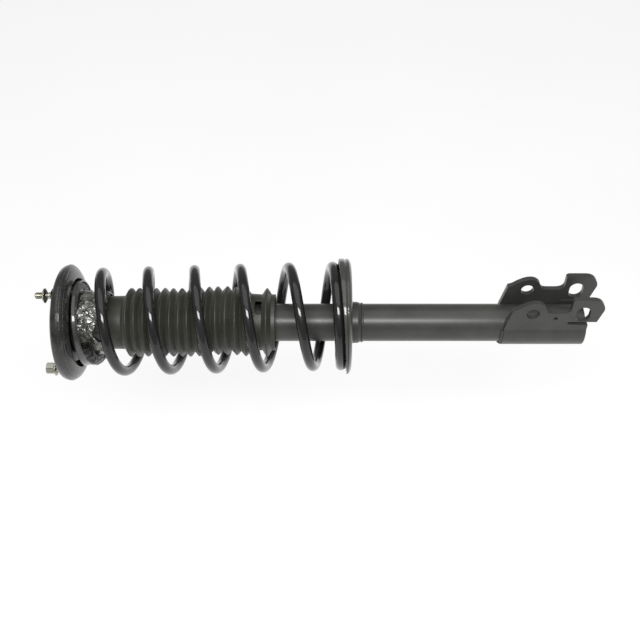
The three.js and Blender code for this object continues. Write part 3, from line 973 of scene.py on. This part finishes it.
def boot_rings(start, end, reach):
    peaks = [fold_peak(k) for k in range(FOLDS)] + [LAST_FOLD]
    widths = [FOLD_PITCH + k * FOLD_PITCH_GROWTH for k in range(FOLDS)] + [11.0]
    xs = np.arange(start, end + 0.01, 0.5)
    base = np.interp(xs, [start, 74.5, 78, 217, 224, 226.5, 239, end],
                     [NECK_R, NECK_R + 0.6, VALLEY_R, VALLEY_R + 0.3, VALLEY_R, CUFF_R + 0.4, CUFF_R, CUFF_R])
    crest = np.zeros(len(xs))
    for peak, width in zip(peaks, widths):
        # A fold is a straight-sided ridge whose crest is rounded off, and the valleys stay sharp.
        off = np.minimum(np.abs(xs - peak) / (width / 2), 1)
        height_lost = np.sqrt(off ** 2 + CREST_ROUND ** 2) - CREST_ROUND
        ridge = 1 - height_lost / (math.hypot(1, CREST_ROUND) - CREST_ROUND)
        crest = np.maximum(crest, ridge)
    return xs, base + (reach - base) * crest


def make_boot():
    start, end, reach = span("dust_boot")
    xs, r = boot_rings(start, end, reach)
    segments = 240
    angles = angles_of(segments)
    draw = np.random.default_rng(5)
    phases = draw.uniform(0, 2 * math.pi, FOLDS + 1)
    rings = []
    for x, radius in zip(xs, r):
        k = int(np.clip((x - FIRST_FOLD + FOLD_PITCH / 2) / (FOLD_PITCH + 0.8), 0, FOLDS))
        wobble = 0.35 * np.sin(angles + phases[k]) + 0.18 * np.sin(3 * angles + phases[k])
        oval = 0.2 * np.sin(2 * angles + phases[k])
        inside = 80 < x < 222
        rings.append((x + wobble, radius + oval) if inside else (x, radius))

    points = turn(rings, segments)
    # The middle of the boot bows a little off the axis.
    points += BOW_MM * np.exp(-((points[..., :1] - 192) / 26) ** 2) * LEAN_SIDE

    def keep(i, j):
        along = (xs[i] - VENT["x"]) / VENT["half_length"]
        round_it = math.remainder(angles[j] - VENT["angle"], 2 * math.pi) / VENT["half_angle"]
        return along ** 4 + round_it ** 4 > 1

    mesh = surface(points, closed=False, keep=keep)
    boot = finish_mesh("bellows_boot", mesh, ELASTOMER, angle=60)
    wall = boot.modifiers.new("wall", "SOLIDIFY")
    wall.thickness = 1.3 * MM
    wall.offset = -1
    solid_copy(boot)
    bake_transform(boot)
    vertices_of(boot)[:, 0]
    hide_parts("dust_boot")
    print("boot faces:", len(boot.data.polygons))


make_boot()

# %% [markdown]
# ## Damper body
# The tube is drawn steel with its top rolled over the seal. The collar is a ring pressed on under the lower
# seat, with a weld bead on its far side. A weld bead is a row of overlapping ripples, one for each dab of
# the arc.

# %% Tube, collar, cap and welds
def make_tube():
    start, end, reach = span("strut_tube")
    rings = rounded([(start, reach - 3.4, 0.4), (start + 1.2, reach, 2.2), (end, reach, 0.5),
                     (end, 20.1, 0.5), (start + 4.4, 20.1, 0.4), (start + 4.1, 20.1, 0),
                     (start + 1.2, 19.6, 0.3)])
    turned_piece("damper_tube", rings, ENAMEL, "strut_body", "grey_paint", ["strut_tube"], 192)


def bead_rings(x, r, size, ripples, segments):
    """A weld bead round the tube: a half-round section whose size swells once for each ripple."""
    angles = angles_of(segments)
    swell = 1 + 0.16 * np.abs(np.sin(ripples / 2 * angles)) + 0.06 * np.sin(5 * angles)
    around = np.linspace(0, 2 * math.pi, 14, endpoint=False)
    return [(x + size * np.cos(a) * swell * 1.2, r + size * np.sin(a) * swell) for a in around]


def make_collar():
    start, end, reach = span("seat_collar")
    rings = rounded([(start, 22.7, 0.2), (start, reach, 0.8), (end - 3.4, reach - 0.3, 1.2),
                     (end - 1.6, reach - 1.4, 0.6), (end, reach - 1.9, 0.5), (end, 22.7, 0.2)])
    turned_piece("seat_collar_ring", rings, ENAMEL, "strut_body", "grey_paint", ["seat_collar"], 160)
    turned_piece("collar_weld", bead_rings(end + 1.2, 22.6, 1.1, 44, 320), ENAMEL, "strut_body",
                 "grey_paint", [], 320)


def make_cap():
    start, end, reach = span("tube_cap")
    rings = rounded([(start, 0, 0), (start, reach, 0.6), (end - 1.4, reach, 1.4), (end - 1.4, reach - 3, 0.6),
                     (end, reach - 6, 2), (end, 0, 0)])
    turned_piece("tube_end_cap", rings, ENAMEL, "strut_body", "grey_paint", ["tube_cap"], 96, closed=False)


make_tube()
make_collar()
make_cap()

# %% [markdown]
# ### Lower spring seat
# The seat is one pressing, off centre: its hole is on the strut axis but its dish is set towards the ears.
# Each ring of the surface is drawn between those two centres. The rim stands tall on one side, where it
# holds the spring's end, and runs out to almost nothing on the other.

# %% Lower seat
def make_lower_seat():
    start, end, reach = span("lower_spring_seat")
    front = end - 3.0
    rim = 333.8
    wall_foot = 340.2
    lowest_rim, highest_rim = 328.6, 338.2
    hub = 22.7
    corners = [
        (front - 2.2, hub, 0.8, 0), (front - 2.0, hub + 1.6, 0.8, 0), (front, hub + 5, 1.5, 0.1),
        (front, 44, 2, 0.5), (front + 1.2, 47, 1.5, 0.6), (front + 1.2, 60, 1.5, 0.9),
        (front - 1, 65.2, 1.5, 1), (rim, 66.0, 1.2, 1), (rim, reach, 1.3, 1), (rim + 3.6, reach, 0.8, 1),
        (rim + 4.4, reach - 1.3, 0.5, 1), (rim + 5.2, reach - 0.1, 0.5, 1), (340.6, reach - 0.1, 1.5, 1),
        (end, 64.5, 2.4, 1), (end, 47, 1.2, 0.6), (end - 1.1, 44, 1.2, 0.5), (end, 41, 1.2, 0.4),
        (end, hub, 0.6, 0),
    ]
    flat = rounded([(x, r, fillet) for x, r, fillet, _ in corners])
    shares = [share for *_, share in corners for step in range(ROUND_STEPS)]
    points = turn(flat, segments=240)
    points[..., 2] += DISH_OFFSET * np.array(shares)[:, None]
    # The edge bead follows the lean of the rim, squeezed up where the wall behind it is short.
    on_edge = (points[..., 0] < 340) & (np.array(shares)[:, None] > 0.95)
    from_dish_axis = points - np.array([0, 0, DISH_OFFSET])
    lift = np.clip(rim - LEAN * (from_dish_axis @ LEAN_SIDE), lowest_rim, highest_rim)
    squeeze = (wall_foot - lift) / (wall_foot - rim)
    moved = wall_foot - (wall_foot - points[..., 0]) * squeeze
    points[..., 0] = np.where(on_edge, moved, points[..., 0])
    settle(finish_mesh("lower_seat_pressing", surface(points), SEAT_ENAMEL), "strut_body", "grey_paint",
           "lower_spring_seat")


make_lower_seat()

# %% [markdown]
# ### Knuckle bracket
# The bracket's outline and holes are the CAD's. A copy of that mesh is merged, its flat faces are joined
# up, and every edge gets a small round, as a stamped and painted edge has.

# %% Bracket
def make_bracket():
    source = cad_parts["knuckle_bracket"]
    mesh = bmesh.new()
    mesh.from_mesh(source.data)
    bmesh.ops.remove_doubles(mesh, verts=mesh.verts, dist=2e-6)
    bmesh.ops.dissolve_limit(mesh, angle_limit=math.radians(1.0), verts=mesh.verts, edges=mesh.edges)
    sharp = [e for e in mesh.edges if len(e.link_faces) == 2 and e.calc_face_angle() > math.radians(40)]
    bmesh.ops.bevel(mesh, geom=sharp, offset=0.7 * MM, offset_type="OFFSET", segments=3, profile=0.5,
                    affect="EDGES", clamp_overlap=True)
    bmesh.ops.recalc_face_normals(mesh, faces=mesh.faces)
    bracket = finish_mesh("knuckle_bracket_stamping", mesh, ENAMEL, angle=32)
    weighted = bracket.modifiers.new("flat faces lead", "WEIGHTED_NORMAL")
    weighted.keep_sharp = True
    settle(bracket, "strut_body", "grey_paint", "knuckle_bracket")


make_bracket()

# %% [markdown]
# ### Bracket weld
# A bead of weld joins the tube to the bracket's upper edge all round the wrap. Its line lies on the tube
# and keeps to the edge, and the same sweep as the spring's wire adds one ripple for each dab of the arc.

# %% Weld along the bracket's edge
def make_bracket_weld():
    angle = np.radians(np.linspace(70, 290, 260))
    r = span("strut_tube")[2] + 0.9
    z = r * np.cos(angle)
    edge = np.interp(z, [-26, 12], [523.6, 522.8])
    line = np.column_stack([edge - 0.6 + 0.5 * np.sin(5 * angle), r * np.sin(angle), z])
    weld = swept("bracket_weld", line, 1.9, ENAMEL, sides=16, ripple_mm=0.55, ripple_length_mm=2.4)
    settle(weld, "strut_body", "grey_paint")


make_bracket_weld()

# %% [markdown]
# ## Parts inside
# The races, guide, seal, piston and bump stop are hidden at rest, so their CAD solids stay and only get a
# material. The bearing's balls are a ring of copies from the same Geometry Nodes tree as the nuts.

# %% Inner parts and bearing balls
def make_balls():
    start, end, reach = span("bearing_cage")
    mesh = bmesh.new()
    bmesh.ops.create_uvsphere(mesh, u_segments=16, v_segments=10, radius=1.95 * MM)
    bmesh.ops.translate(mesh, verts=mesh.verts, vec=((start + end) / 2 * MM, 0, 0))
    ball = finish_mesh("bearing_balls", mesh, STEEL)
    baked(ball, ROUND_THE_AXIS, {"Count": 32, "Radius": 38 * MM, "First angle": 0.0, "Own turn": 0.0,
                                 "Skip first": False, "Material": STEEL})
    settle(ball, "spring_perch", "steel")


make_balls()
INNER_FINISHES = {
    "inner_sleeve": STEEL, "bearing_top_race": STEEL, "bearing_lower_race": STEEL, "bearing_cage": FOAM,
    "rebound_stop": ELASTOMER, "damper_piston": STEEL, "piston_nut": STEEL, "bump_stop": FOAM,
    "rod_seal": ELASTOMER, "rod_guide": STEEL, "pressure_cylinder": STEEL, "base_valve": STEEL,
}
for node_name, finish in INNER_FINISHES.items():
    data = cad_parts[node_name].data
    data.materials.clear()
    data.materials.append(finish)
